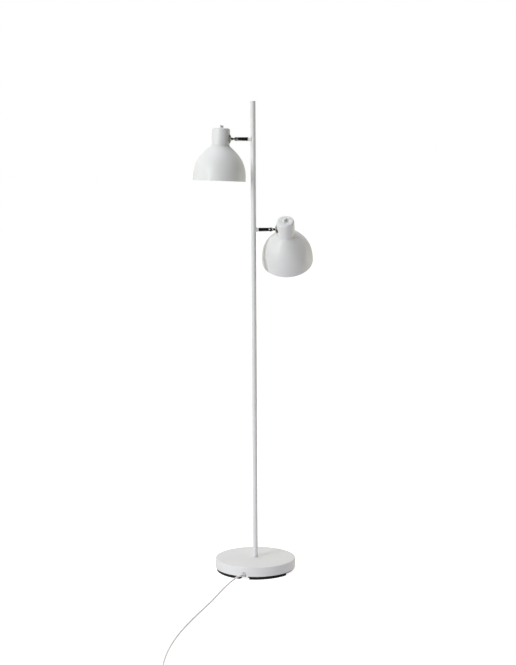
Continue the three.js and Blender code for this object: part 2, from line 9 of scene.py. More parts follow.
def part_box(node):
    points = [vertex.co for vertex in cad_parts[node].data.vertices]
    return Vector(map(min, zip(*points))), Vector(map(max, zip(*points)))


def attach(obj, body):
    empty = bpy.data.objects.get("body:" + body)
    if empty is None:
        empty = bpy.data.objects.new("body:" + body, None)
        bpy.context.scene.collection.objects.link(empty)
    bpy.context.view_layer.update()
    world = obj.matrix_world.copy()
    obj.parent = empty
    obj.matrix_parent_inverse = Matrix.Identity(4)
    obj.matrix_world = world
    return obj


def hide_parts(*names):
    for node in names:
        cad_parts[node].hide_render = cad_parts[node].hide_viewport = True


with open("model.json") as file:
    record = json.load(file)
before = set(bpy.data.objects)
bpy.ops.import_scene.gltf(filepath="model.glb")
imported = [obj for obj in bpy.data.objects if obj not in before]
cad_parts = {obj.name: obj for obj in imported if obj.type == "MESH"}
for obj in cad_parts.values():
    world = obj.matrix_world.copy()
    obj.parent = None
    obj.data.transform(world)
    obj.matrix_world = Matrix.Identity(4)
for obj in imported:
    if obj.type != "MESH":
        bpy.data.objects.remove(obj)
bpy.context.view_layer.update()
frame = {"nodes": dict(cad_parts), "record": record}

# A floor lamp with two adjustable heads: +Z up, the pole on the Z axis, the front at -Y.
# Places, the cord, the base's radius and the floor are in metres. Profiles and boxes are in millimetres.
MM = 0.001
GAP = 0.3
SIDES = ("upper", "lower")

# ---------------------------------------------------------------- camera
EYE_HEIGHT = 1.2333
EYE_DISTANCE = 4.341
EYE_OFFSET = 0.0121
EYE_PITCH = math.radians(6.205)
EYE_ROLL = math.radians(-0.3)
LENS_MM = 75.2


def make_camera():
    data = bpy.data.cameras.new("camera")
    data.lens = LENS_MM
    data.sensor_width = 36
    data.clip_end = 100
    camera = bpy.data.objects.new("camera", data)
    bpy.context.scene.collection.objects.link(camera)
    place = Matrix.Translation((EYE_OFFSET, -EYE_DISTANCE, EYE_HEIGHT))
    aim = Matrix.Rotation(math.pi / 2 - EYE_PITCH, 4, "X")
    camera.matrix_world = place @ aim @ Matrix.Rotation(EYE_ROLL, 4, "Z")
    bpy.context.scene.camera = camera


make_camera()


# ---------------------------------------------------------------- shader helpers
def new_material(name):
    """A material, its Principled shader, and functions that add a node and wire the shader."""
    material = bpy.data.materials.new(name)
    material.use_nodes = True
    tree = material.node_tree
    shader = tree.nodes["Principled BSDF"]

    def node(kind, links=()):
        made = tree.nodes.new(kind)
        for source, socket in links:
            tree.links.new(source, made.inputs[socket])
        return made

    def wire(source, socket):
        tree.links.new(source, shader.inputs[socket])

    return material, shader, node, wire


def noise(node, scale, detail=3.0):
    place = node("ShaderNodeTexCoord").outputs["Object"]
    texture = node("ShaderNodeTexNoise", [(place, "Vector")])
    texture.inputs["Scale"].default_value = scale
    texture.inputs["Detail"].default_value = detail
    return texture.outputs["Fac"]


def spread(node, source, low, high):
    """Maps a texture's middle range to run from low to high."""
    made = node("ShaderNodeMapRange", [(source, "Value")])
    made.inputs["From Min"].default_value = 0.3
    made.inputs["From Max"].default_value = 0.7
    made.inputs["To Min"].default_value = low
    made.inputs["To Max"].default_value = high
    return made.outputs["Result"]


def tint(node, source, first, second):
    ramp = node("ShaderNodeValToRGB", [(source, "Fac")])
    ramp.color_ramp.elements[0].position = 0.35
    ramp.color_ramp.elements[0].color = (*first, 1)
    ramp.color_ramp.elements[1].position = 0.65
    ramp.color_ramp.elements[1].color = (*second, 1)
    return ramp.outputs["Color"]


def bump(node, source, strength, distance):
    made = node("ShaderNodeBump", [(source, "Height")])
    made.inputs["Strength"].default_value = strength
    made.inputs["Distance"].default_value = distance
    return made.outputs["Normal"]


GRAIN_DEPTH = 0.0004


def surface(name, colours, roughness, grain, strength, metallic=0.0, patch=12.0):
    """The common build: patchy colour and roughness, and a fine grain in the surface."""
    material, shader, node, wire = new_material(name)
    wire(tint(node, noise(node, patch), *colours), "Base Color")
    wire(spread(node, noise(node, patch * 7), *roughness), "Roughness")
    wire(bump(node, noise(node, grain, 4.0), strength, GRAIN_DEPTH), "Normal")
    shader.inputs["Metallic"].default_value = metallic
    return material, shader


# ---------------------------------------------------------------- materials
def white_paint():
    """Satin powder coat: fine orange peel, and a hard clear sheen."""
    material, shader = surface(
        "white_paint", [(0.80, 0.81, 0.82), (0.835, 0.84, 0.85)], (0.46, 0.56), 900, 0.10
    )
    shader.inputs["Specular IOR Level"].default_value = 0.5
    shader.inputs["Coat Weight"].default_value = 0.15
    shader.inputs["Coat Roughness"].default_value = 0.18
    return material


def white_plastic():
    return surface(
        "white_plastic", [(0.79, 0.79, 0.785), (0.83, 0.83, 0.825)], (0.38, 0.5), 2200, 0.12
    )[0]


def white_cord():
    """Soft PVC, with faint long waves from being wound."""
    material, shader = surface(
        "white_cord", [(0.80, 0.80, 0.79), (0.86, 0.86, 0.85)], (0.32, 0.45), 500, 0.18, patch=25
    )
    shader.inputs["Subsurface Weight"].default_value = 0.05
    shader.inputs["Subsurface Scale"].default_value = 0.002
    return material


def chrome():
    """Bright plate with faint finger haze."""
    return surface("chrome", [(0.70, 0.71, 0.73), (0.76, 0.77, 0.78)], (0.05, 0.12), 350, 0.02, 1.0)[0]


def satin_steel():
    """Brushed plate: bright, but too rough to mirror the room."""
    return surface(
        "satin_steel", [(0.58, 0.58, 0.575), (0.66, 0.66, 0.65)], (0.3, 0.42), 700, 0.06, 1.0
    )[0]


def zinc():
    return surface("zinc", [(0.48, 0.49, 0.50), (0.60, 0.60, 0.59)], (0.3, 0.5), 1500, 0.2, 1.0)[0]


def brass():
    return surface("brass", [(0.62, 0.46, 0.20), (0.74, 0.58, 0.28)], (0.22, 0.38), 1200, 0.1, 1.0)[0]


def cast_iron():
    return surface("cast_iron", [(0.06, 0.06, 0.062), (0.11, 0.105, 0.10)], (0.6, 0.85), 260, 0.8, 0.3)[0]


def black_plastic():
    return surface("black_plastic", [(0.012, 0.012, 0.013), (0.02, 0.02, 0.021)], (0.45, 0.6), 1400, 0.3)[0]


def black_rubber():
    return surface("black_rubber", [(0.010, 0.010, 0.010), (0.018, 0.018, 0.018)], (0.7, 0.9), 900, 0.5)[0]


def opal_glass():
    material, shader = surface(
        "opal_glass", [(0.86, 0.85, 0.82), (0.90, 0.89, 0.86)], (0.14, 0.22), 120, 0.02
    )
    shader.inputs["Subsurface Weight"].default_value = 0.3
    shader.inputs["Subsurface Scale"].default_value = 0.01
    return material


MAKERS = (
    white_paint, white_plastic, white_cord, chrome, satin_steel, zinc, brass,
    cast_iron, black_plastic, black_rubber, opal_glass,
)
MATERIALS = {maker.__name__: maker() for maker in MAKERS}
SLOT_OF = {part["node"]: part["material_slot"] for part in frame["record"]["subparts"]}
for name, carried in frame["nodes"].items():
    carried.data.materials.clear()
    carried.data.materials.append(MATERIALS[SLOT_OF[name]])


# ---------------------------------------------------------------- mesh helpers
def add_object(name, mesh):
    made = bpy.data.objects.new(name, mesh)
    bpy.context.scene.collection.objects.link(made)
    return made


def mesh_of(name, points, faces, matrix=Matrix()):
    mesh = bpy.data.meshes.new(name)
    mesh.from_pydata([matrix @ Vector(p) for p in points], [], faces)
    tidy = bmesh.new()
    tidy.from_mesh(mesh)
    bmesh.ops.remove_doubles(tidy, verts=tidy.verts, dist=1e-6)
    bmesh.ops.recalc_face_normals(tidy, faces=tidy.faces)
    tidy.to_mesh(mesh)
    tidy.free()
    return add_object(name, mesh)


def turned(name, profile, segments=96, matrix=Matrix(), swell=None):
    """A solid turned about Z from [radius, height] points in millimetres. A profile that starts on
    the axis ends on it, and any other closes on itself. swell(angle) scales the radius for ribs."""
    closed = profile[0][0] > 0
    count = len(profile)
    points = []
    for i in range(segments):
        angle = 2 * math.pi * i / segments
        factor = swell(angle) if swell else 1
        for radius, height in profile:
            across = radius * factor * MM
            points.append((across * math.cos(angle), across * math.sin(angle), height * MM))
    faces = []
    for i in range(segments):
        here = i * count
        there = (i + 1) % segments * count
        for k in range(count if closed else count - 1):
            after = (k + 1) % count
            faces.append([here + k, there + k, there + after, here + after])
    return mesh_of(name, points, faces, matrix)


def arc(centre_radius, centre_height, radius, start, end, steps=6):
    """Profile points on an arc, its angles in degrees."""
    turns = [math.radians(start + (end - start) * i / steps) for i in range(steps + 1)]
    return [(centre_radius + radius * math.cos(t), centre_height + radius * math.sin(t)) for t in turns]


def rounded_box(name, size, centre, edge, matrix=Matrix()):
    made = bpy.data.meshes.new(name)
    form = bmesh.new()
    bmesh.ops.create_cube(form, size=1)
    bmesh.ops.scale(form, vec=[s * MM for s in size], verts=form.verts)
    bmesh.ops.translate(form, vec=[c * MM for c in centre], verts=form.verts)
    if edge:
        bmesh.ops.bevel(form, geom=form.edges[:], offset=edge * MM, segments=3, affect="EDGES", profile=0.5)
    bmesh.ops.transform(form, matrix=matrix, verts=form.verts)
    form.to_mesh(made)
    form.free()
    return add_object(name, made)


def boolean(piece, tool, operation="DIFFERENCE"):
    """Cuts, joins or intersects piece with tool, and throws the tool away."""
    change = piece.modifiers.new("boolean", "BOOLEAN")
    change.object = tool
    change.operation = operation
    change.solver = "EXACT"
    settle(piece)
    bpy.data.objects.remove(tool)
    return piece


def settle(piece):
    """Applies the piece's modifiers to its mesh."""
    bpy.context.view_layer.update()
    seen = piece.evaluated_get(bpy.context.evaluated_depsgraph_get())
    mesh = bpy.data.meshes.new_from_object(seen)
    piece.modifiers.clear()
    piece.data = mesh


def bevel(piece, width, segments=2, angle=35):
    change = piece.modifiers.new("bevel", "BEVEL")
    change.width = width * MM
    change.segments = segments
    change.limit_method = "ANGLE"
    change.angle_limit = math.radians(angle)
    change.use_clamp_overlap = True
    settle(piece)


def place(piece, slot, body, *nodes, smooth=40):
    """Finishes a piece: shading, material, the body it rides on and the CAD nodes it stands for."""
    piece.data.materials.clear()
    piece.data.materials.append(MATERIALS[slot])
    piece.data.shade_smooth()
    piece.data.set_sharp_from_angle(angle=math.radians(smooth))
    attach(piece, body)
    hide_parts(*nodes)
    return piece


ALONG_X = Matrix.Rotation(math.pi / 2, 4, "Y")
ALONG_Y = Matrix.Rotation(-math.pi / 2, 4, "X")

# ---------------------------------------------------------------- cord
# The route is the CAD's: from the gland down to the floor, along it, round the coil and to the plug.
# CORD_LENGTH is the real cord's. The route is a little shorter.
CORD_RADIUS = 0.003
OUTLET_ANGLE = math.radians(-16)
GLAND_ANGLE = math.radians(-41)
GLAND_OUTSIDE = 0.013
BASE_RADIUS = 0.1275
CORD_EXIT_HEIGHT = 0.0165
CORD_ROUTE = [
    (-0.054, -0.1395, 0.0152),
    (-0.066, -0.150, 0.0098),
    (-0.077, -0.165, 0.0052),
    (-0.086, -0.186, 0.0033),
    (-0.094, -0.213, 0.003),
    (-0.102, -0.243, 0.003),
    (-0.110, -0.275, 0.003),
    (-0.121, -0.320, 0.003),
    (-0.136, -0.375, 0.003),
    (-0.155, -0.440, 0.003),
    (-0.176, -0.515, 0.003),
    (-0.197, -0.595, 0.003),
    (-0.215, -0.680, 0.003),
    (-0.228, -0.765, 0.003),
    (-0.235, -0.850, 0.003),
    (-0.236, -0.920, 0.0032),
    (-0.235, -0.960, 0.004),
]
TAIL_ROUTE = [
    (-0.168, -1.040, 0.010),
    (-0.158, -1.0403, 0.0094),
    (-0.147, -1.0408, 0.008),
    (-0.1355, -1.041, 0.0071),
]
COIL_CENTRE = Vector((-0.196, -1.004))
# The radius and height of each lap of the coil.
COIL_LAPS = [(0.039, 0.004), (0.033, 0.004), (0.027, 0.004), (0.030, 0.0097), (0.036, 0.0097)]
COIL_STEPS = 16
COIL_START = math.pi
COIL_TURNS = 5.25
COIL_SLIP_START = 0.7


def heading(angle):
    """The direction on the floor at an angle from the front, turning to the right."""
    return Vector((math.sin(angle), -math.cos(angle), 0))


def gland_point(distance):
    """A point on the gland's axis, at a distance outside the base's wall."""
    wall = heading(OUTLET_ANGLE) * BASE_RADIUS + Vector((0, 0, CORD_EXIT_HEIGHT))
    return wall + heading(GLAND_ANGLE) * distance


def coil_points():
    """The coil's turns: each lap keeps its radius and slips to the next one near its end."""
    points = []
    for i in range(int(COIL_STEPS * COIL_TURNS) + 1):
        turn = i / COIL_STEPS
        lap = min(int(turn), len(COIL_LAPS) - 1)
        after = min(lap + 1, len(COIL_LAPS) - 1)
        slip = min(max((turn - lap - COIL_SLIP_START) / 0.3, 0), 1)
        slip = slip * slip * (3 - 2 * slip)
        radius, height = (a + (b - a) * slip for a, b in zip(COIL_LAPS[lap], COIL_LAPS[after]))
        angle = COIL_START + 2 * math.pi * turn
        flat = COIL_CENTRE + radius * Vector((math.cos(angle), math.sin(angle)))
        points.append((flat.x, flat.y, height))
    return points


def make_cord():
    start = [gland_point(GLAND_OUTSIDE - 0.004), gland_point(GLAND_OUTSIDE + 0.007)]
    points = [*start, *CORD_ROUTE, *coil_points(), *TAIL_ROUTE]
    data = bpy.data.curves.new("power_lead", "CURVE")
    data.dimensions = "3D"
    data.bevel_depth = CORD_RADIUS
    data.bevel_resolution = 5
    data.resolution_u = 8
    data.use_fill_caps = True
    spline = data.splines.new("BEZIER")
    spline.bezier_points.add(len(points) - 1)
    for knot, point in zip(spline.bezier_points, points):
        knot.co = point
        knot.handle_left_type = "AUTO"
        knot.handle_right_type = "AUTO"
    data.materials.append(MATERIALS["white_cord"])
    cord = add_object("power_lead", data)
    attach(cord, "stand")
    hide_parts("power_cord", "cord_coil", "cord_tail")
    return cord


def make_gland():
    """The strain relief: a sleeve that tapers outside the wall, with ring grooves for bending."""
    profile = [(0, -14), (4.0, -14), (4.2, -13.6), (4.2, 2)]
    for i in range(4):
        low = 2.6 + 2.4 * i
        radius = 4.1 - 0.13 * low
        inner = radius - 0.45
        profile += [(radius, low), (inner, low + 0.25), (inner, low + 1.0), (radius, low + 1.25)]
    profile += [(3.6, 12.4), (3.35, 13), (0, 13)]
    wall = heading(OUTLET_ANGLE) * BASE_RADIUS + Vector((0, 0, CORD_EXIT_HEIGHT))
    turn = heading(GLAND_ANGLE).to_track_quat("Z", "Y").to_matrix().to_4x4()
    gland = turned("strain_relief", profile, 40, Matrix.Translation(wall) @ turn)
    return place(gland, "white_plastic", "stand", "cord_gland", smooth=50)


def make_plug():
    """A flat two-pin plug: a waisted body with grip ridges, and pins with sleeves."""
    low, high = (Vector(v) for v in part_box("plug_body"))
    entry = Vector((low.x, (low.y + high.y) / 2, (low.z + high.z) / 2))
    length, width, height = high - low
    outline = []
    for i in range(13):
        along = i / 12
        half = width / 2 * (0.46 + 0.54 * math.sin(min(along / 0.62, 1) * math.pi / 2) ** 2)
        outline.append((along * length, half))
    around = outline + [(x, -y) for x, y in reversed(outline)]
    count = len(around)
    points = [(x, y, z * height / 2) for z in (-1, 1) for x, y in around]
    faces = [list(range(count)), list(range(count, 2 * count))]
    faces += [[i, (i + 1) % count, count + (i + 1) % count, count + i] for i in range(count)]
    body = mesh_of("plug_shell", points, faces, Matrix.Translation(entry))
    bevel(body, 2.6, 4, 50)
    for side in (-1, 1):
        for i in range(4):
            centre = (entry.x / MM + 13 + 3.2 * i, entry.y / MM, entry.z / MM + side * 7)
            boolean(body, rounded_box("groove", (1.2, 15, 1.2), centre, 0.3))
    place(body, "white_plastic", "stand", "plug_body", smooth=35)
    pins = [make_pin(number) for number in (1, 2)]
    return [body, *pins]


def make_pin(number):
    node = f"plug_pin_{number}"
    low, high = (Vector(v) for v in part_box(node))
    middle = Vector((low.x, (low.y + high.y) / 2, (low.z + high.z) / 2))
    length = (high.x - low.x) / MM
    profile = [(0, 0), (1.95, 0), (1.95, length - 9), (1.7, length - 8.8), (1.95, length - 8.6)]
    profile += [(1.95, length - 1.6), *arc(0.6, length - 1.35, 1.35, 0, 90, 5), (0, length)]
    pin = turned(f"pin_{number}", profile, 28, Matrix.Translation(middle) @ ALONG_X)
    return place(pin, "brass", "stand", node)


def rounded_loop(half_x, half_z, corner):
    """The corners of an upright rounded rectangle about the origin, as X and Z."""
    points = []
    for turn, (side_x, side_z) in enumerate(((1, 1), (-1, 1), (-1, -1), (1, -1))):
        for i in range(5):
            angle = math.pi / 2 * (turn + i / 4)
            x = side_x * (half_x - corner) + corner * math.cos(angle)
            z = side_z * (half_z - corner) + corner * math.sin(angle)
            points.append((x, z))
    return points


def make_tie():
    """A soft strap looped round the coil, with its free end lapped over the top."""
    low, high = (Vector(v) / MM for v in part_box("coil_tie"))
    centre, half = (low + high) / 2, (high - low) / 2
    wall, corner = 0.9, 4
    outer = rounded_loop(half.x, half.z, corner)
    inner = rounded_loop(half.x - wall, half.z - wall, corner - wall)
    count = len(outer)
    points = [(x * MM, y * MM, z * MM) for y in (-half.y, half.y) for x, z in outer + inner]
    faces = []
    for i in range(count):
        j = (i + 1) % count
        faces.append([i, j, 2 * count + j, 2 * count + i])
        faces.append([count + j, count + i, 3 * count + i, 3 * count + j])
        faces.append([i, count + i, count + j, j])
        faces.append([2 * count + j, 3 * count + j, 3 * count + i, 2 * count + i])
    strap = mesh_of("cable_strap", points, faces, Matrix.Translation(centre * MM))
    lap = rounded_box("lap", (10, 8, 0.8), (centre.x - 2, centre.y, high.z + 0.2), 0.2)
    boolean(strap, lap, "UNION")
    bevel(strap, 0.2)
    return place(strap, "black_plastic", "stand", "coil_tie", smooth=35)


cord = make_cord()
gland = make_gland()
plug = make_plug()
tie = make_tie()

# ---------------------------------------------------------------- base
SHELL_BOTTOM = 10.2
BASE_TOP = 40
SHELL_EDGE = 3
SHELL_WALL = 1.5
PLATE_RADIUS = 125
PLATE_THICKNESS = 3.8


def arch_tool(width, top, depth):
    """A mouse-hole shape through the shell's wall where the cord leaves it."""
    radius = width / 2
    rounded = turned("arch", [(0, -depth), (radius, -depth), (radius, depth), (0, depth)], 40, ALONG_Y)
    slot = rounded_box("slot", (2 * radius, 2 * depth, top), (0, 0, -top / 2), 0)
    boolean(rounded, slot, "UNION")
    turn = Matrix.Rotation(OUTLET_ANGLE, 4, "Z")
    wall = heading(OUTLET_ANGLE) * BASE_RADIUS + Vector((0, 0, CORD_EXIT_HEIGHT))
    rounded.data.transform(Matrix.Translation(wall) @ turn)
    return rounded


def make_base_shell():
    """The spun steel shell: a flat top, a tight rounded edge, an upright side and a softened lower lip."""
    radius = BASE_RADIUS / MM
    inner = radius - SHELL_WALL
    edge = radius - SHELL_EDGE
    profile = [
        (inner, SHELL_BOTTOM + 0.3),
        *arc(inner + 0.3, SHELL_BOTTOM + 0.3, 0.3, 180, 270, 3),
        *arc(radius - 0.5, SHELL_BOTTOM + 0.5, 0.5, 270, 360, 4),
        *arc(edge, BASE_TOP - SHELL_EDGE, SHELL_EDGE, 0, 90, 10),
        (40, BASE_TOP),
        (8.6, BASE_TOP),
        (5.3, BASE_TOP),
        (5.3, BASE_TOP - SHELL_WALL),
        (40, BASE_TOP - SHELL_WALL),
        *arc(edge, BASE_TOP - SHELL_EDGE, SHELL_EDGE - SHELL_WALL, 90, 0, 5),
    ]
    shell = turned("base_casing", profile, 192)
    boolean(shell, arch_tool(12, 20, 14))
    return place(shell, "white_paint", "stand", "base_shell", smooth=30)


def make_base_plate():
    """The moulded plate under the base, with a central boss, two ring grooves and a notch for the cord."""
    radius = PLATE_RADIUS
    top = SHELL_BOTTOM - GAP
    low = top - PLATE_THICKNESS
    profile = [
        (0, 0),
        (19.2, 0), (20, 0.8), (20, low),
        (60, low), (60.4, low + 0.5), (61.6, low + 0.5), (62, low),
        (98, low), (98.4, low + 0.5), (99.6, low + 0.5), (100, low),
        (radius - 0.8, low), (radius, low + 0.8),
        (radius, top - 0.5), (radius - 0.5, top),
        (0, top),
    ]
    plate = turned("underside_plate", profile, 144)
    notch = rounded_box("notch", (24, 24, 30), (0, -radius, top), 0, Matrix.Rotation(OUTLET_ANGLE, 4, "Z"))
    boolean(plate, notch)
    return place(plate, "black_plastic", "stand", "base_plate", smooth=30)


PAD_INNER = 107
PAD_OUTER = 123.5
PAD_SPAN = math.radians(61)
PAD_OFFSET = math.radians(37.5)
PAD_HEIGHT = SHELL_BOTTOM - PLATE_THICKNESS - 2 * GAP
PAD_STEPS = 24


def make_pad(number):
    """An arc of rubber with square ends, softened edges and a sunk tread groove underneath."""
    outlet = OUTLET_ANGLE - math.pi / 2 + (0 if number < 3 else math.pi)
    middle = outlet + (PAD_OFFSET if number % 2 == 0 else -PAD_OFFSET)
    edge, groove = 0.8, 0.6
    centre = (PAD_INNER + PAD_OUTER) / 2
    section = [
        (PAD_INNER + edge, 0), (centre - 3, 0), (centre - 2, groove), (centre + 2, groove), (centre + 3, 0),
        (PAD_OUTER - edge, 0), (PAD_OUTER, edge), (PAD_OUTER, PAD_HEIGHT), (PAD_INNER, PAD_HEIGHT),
        (PAD_INNER, edge),
    ]
    count = len(section)
    points = []
    for i in range(PAD_STEPS + 1):
        angle = middle - PAD_SPAN / 2 + PAD_SPAN * i / PAD_STEPS
        points += [(r * MM * math.cos(angle), r * MM * math.sin(angle), z * MM) for r, z in section]
    faces = [list(range(count)), list(range(PAD_STEPS * count, (PAD_STEPS + 1) * count))]
    for i in range(PAD_STEPS):
        for k in range(count):
            a, b = i * count + k, i * count + (k + 1) % count
            faces.append([a, b, b + count, a + count])
    pad = mesh_of(f"rubber_pad_{number}", points, faces)
    return place(pad, "black_rubber", "stand", f"foot_pad_{number}", smooth=30)


make_base_shell()
make_base_plate()
for number in range(1, 5):
    make_pad(number)


# ---------------------------------------------------------------- pole
POLE_RADIUS = 8
POLE_WALL = 1.2
ARM_BORE = 4.3


def make_pole():
    """The steel tube, with a way into each arm for its cord."""
    low, high = (v[2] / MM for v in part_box("pole"))
    inner = POLE_RADIUS - POLE_WALL
    profile = [
        (inner, low), (POLE_RADIUS - 0.3, low), (POLE_RADIUS, low + 0.3),
        (POLE_RADIUS, (low + high) / 2),
        (POLE_RADIUS, high - 0.2), (POLE_RADIUS - 0.2, high), (inner, high),
    ]
    tube = turned("pole_tube", profile, 64)
    for node, side in (("upper_collar", -1), ("lower_collar", 1)):
        start, end = (Vector(v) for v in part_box(node))
        way = turned("way", [(0, 0), (ARM_BORE, 0), (ARM_BORE, 16), (0, 16)], 32, ALONG_X)
        turn = Matrix.Rotation(0 if side > 0 else math.pi, 4, "Z")
        way.data.transform(Matrix.Translation((0, 0, (start.z + end.z) / 2)) @ turn)
        boolean(tube, way)
    return place(tube, "white_paint", "stand", "pole", smooth=30)


def make_cap():
    low, high = (v[2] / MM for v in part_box("pole_cap"))
    rim = high - 1.6
    profile = [
        (0, low), (5.6, low), (6.5, low + 0.9), (6.5, rim), (7.8, rim), (POLE_RADIUS, rim + 0.2),
        *arc(POLE_RADIUS - 0.8, high - 0.8, 0.8, 0, 90, 5), (0, high),
    ]
    return place(turned("pole_end_cap", profile, 64), "white_paint", "stand", "pole_cap", smooth=30)


make_pole()
make_cap()

# ---------------------------------------------------------------- heads
JOINTS = {joint["name"]: joint for joint in frame["record"]["behaviour"]["joints"]}
ARM_BOXES = {side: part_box(f"{side}_arm_tube") for side in SIDES}
HEIGHTS = {side: (low[2] + high[2]) / 2 for side, (low, high) in ARM_BOXES.items()}
ARM_RADIUS = 6
KNUCKLE_START = 48.6
PIN_HOLE = 1.7
PIVOT_REACH = 53.5
NECK_AXIS = 46.5
NECK_RADIUS = 28
NECK_TOP = 32
NECK_BOTTOM = -20.5
SHADE_RIM = -130.5
SHADE_RADIUS = 81.8
SHADE_CURVE_HEIGHT = 125
SHADE_CURVE_POWER = 2.77
SHADE_WALL = 1.1
SHADE_BLEND = 12
NECK_EDGE = 6.5
KNOB_ANGLE = math.radians(-40)
WALL_OUTSIDE = NECK_AXIS - NECK_RADIUS
ROSETTE_RISE = 5.2
ROSETTE_RADIUS = 14.5
ROSETTE_WALL = 1.2
ROSETTE_APEX = WALL_OUTSIDE - ROSETTE_RISE - GAP


def arm_frame(place_name):
    """The arm's own axes: X out from the pole's axis, at the arm's height."""
    outward = 0 if JOINTS[f"{place_name}_tilt"]["pos_m"][0] > 0 else math.pi
    return Matrix.Translation((0, 0, HEIGHTS[place_name])) @ Matrix.Rotation(outward, 4, "Z")


def axes_matrix(origin, across, up):
    """A frame at origin from its Y and Z directions."""
    across, up = Vector(across).normalized(), Vector(up).normalized()
    out = across.cross(up).normalized()
    turn = Matrix((out, up.cross(out), up)).transposed().to_4x4()
    return Matrix.Translation(origin) @ turn


def head_frame(place_name):
    """The head's axes about its pivot: X out along the stem, Z up the neck."""
    tilt = JOINTS[f"{place_name}_tilt"]
    return axes_matrix(tilt["pos_m"], -Vector(tilt["axis"]), JOINTS[f"{place_name}_switch_turn"]["axis"])


def knuckle_frame(place_name):
    """The knuckle's axes about the pivot: X along the arm, Y along the pivot's pin."""
    tilt = JOINTS[f"{place_name}_tilt"]
    out = Vector((math.copysign(1, tilt["pos_m"][0]), 0, 0))
    across = -Vector(tilt["axis"])
    return axes_matrix(tilt["pos_m"], across, out.cross(across))


def make_arm(name):
    """The boss on the pole, the chrome tube and the washer at its end."""
    at = arm_frame(name)
    collar = turned(f"{name}_boss", [
        (ARM_BORE, 6.6), (9.2, 6.6), (7.2, 8.4), (6.3, 9.8),
        (ARM_RADIUS, 11.5), (ARM_RADIUS, 15.1), (5.6, 15.5), (ARM_BORE, 15.5),
    ], 64, at @ ALONG_X)
    pole = turned("pole_tool", [(0, -30), (8.05, -30), (8.05, 30), (0, 30)], 64)
    pole.data.transform(Matrix.Translation((0, 0, HEIGHTS[name])))
    boolean(collar, pole)
    place(collar, "white_paint", "stand", f"{name}_collar", smooth=35)
    tube = turned(f"{name}_arm", [
        (ARM_BORE, 15.8), (5.7, 15.8), (ARM_RADIUS, 16.1), (ARM_RADIUS, 31),
        (ARM_RADIUS, 46.7), (5.5, 47.2), (ARM_BORE, 47.2),
    ], 64, at @ ALONG_X)
    place(tube, "chrome", "stand", f"{name}_arm_tube", smooth=35)
    washer = turned(f"{name}_washer", [
        (ARM_BORE, 47.5), (6.0, 47.5), (6.2, 47.7), (6.2, 48.1), (6.0, 48.3), (ARM_BORE, 48.3),
    ], 48, at @ ALONG_X)
    place(washer, "chrome", "stand", f"{name}_friction_washer", smooth=35)


def rod(name, radius, low, high, turn=Matrix(), segments=64):
    return turned(name, [(0, low), (radius, low), (radius, high), (0, high)], segments, turn)


def make_knuckle(name):
    """The forked swivel: a round body, rounded about the pivot, with a slot for the stem's eye."""
    body_name = f"{name}_knuckle"
    start = KNUCKLE_START - PIVOT_REACH
    body = rod(f"{name}_swivel", 6.4, start, 8, ALONG_X)
    rounded = rod("end", 6, -10, 10, ALONG_Y)
    boolean(rounded, rounded_box("middle", (-start, 20, 20), (start / 2, 0, 0), 0), "UNION")
    boolean(body, rounded, "INTERSECT")
    boolean(body, rounded_box("slot", (20, 4.8, 20), (5.6, 0, 0), 0))
    for low, high in ((-10, -4.9), (4.9, 10)):
        boolean(body, rod("seat", 3, low, high, ALONG_Y))
    bevel(body, 0.35, 3)
    spigot = rod("spigot", 4, start - 12, start + 1, ALONG_X)
    boolean(body, spigot, "UNION")
    boolean(body, rod("hole", PIN_HOLE, -10, 10, ALONG_Y, 24))
    body.data.transform(knuckle_frame(name))
    place(body, "chrome", body_name, f"{name}_knuckle", smooth=30)
    make_pivot(name)


def make_pivot(name):
    """The slotted screw through the fork, and the six-sided nut on its end."""
    at = knuckle_frame(name) @ ALONG_Y
    screw = turned(f"{name}_screw", [
        (0, -6.5), (2.2, -6.5), (2.7, -6.1), (2.7, -5.2), (1.4, -5.2), (1.4, 6.2), (0, 6.2),
    ], 40, at)
    slot_at = at @ Matrix.Translation((0, 0, -6.5 * MM))
    boolean(screw, rounded_box("drive", (4.4, 0.7, 1.0), (0, 0, 0), 0, slot_at))
    place(screw, "chrome", f"{name}_knuckle", f"{name}_pivot_screw", smooth=30)
    nut = turned(f"{name}_nut", [
        (1.55, 5.2), (2.6, 5.2), (2.7, 5.4), (2.7, 6.1), (2.4, 6.4), (1.55, 6.4),
    ], 6, at)
    place(nut, "chrome", f"{name}_knuckle", f"{name}_pivot_nut", smooth=30)


def make_stem(name):
    """The stem: an eye in the fork, a shouldered neck, and a thread through the wall."""
    stem = rod(f"{name}_swivel_stem", 3.9, -2.1, 2.1, ALONG_Y)
    boolean(stem, rounded_box("tongue", (7.4, 4.2, 6.4), (3.7, 0, 0), 0), "UNION")
    bevel(stem, 0.3, 2)
    neck = turned("neck", [
        (0, 6.4), (3.7, 6.4), (4.2, 6.9), (4.2, 9.6), (3.9, 9.9), (3.9, 10.4), (4.2, 10.7), (4.2, 13.9),
        (3.4, 13.9), (3.4, WALL_OUTSIDE + 8), (0, WALL_OUTSIDE + 8),
    ], 48, ALONG_X)
    boolean(stem, neck, "UNION")
    boolean(stem, rod("hole", PIN_HOLE, -10, 10, ALONG_Y, 24))
    stem.data.transform(head_frame(name))
    return place(stem, "chrome", f"{name}_head", f"{name}_stem", smooth=30)


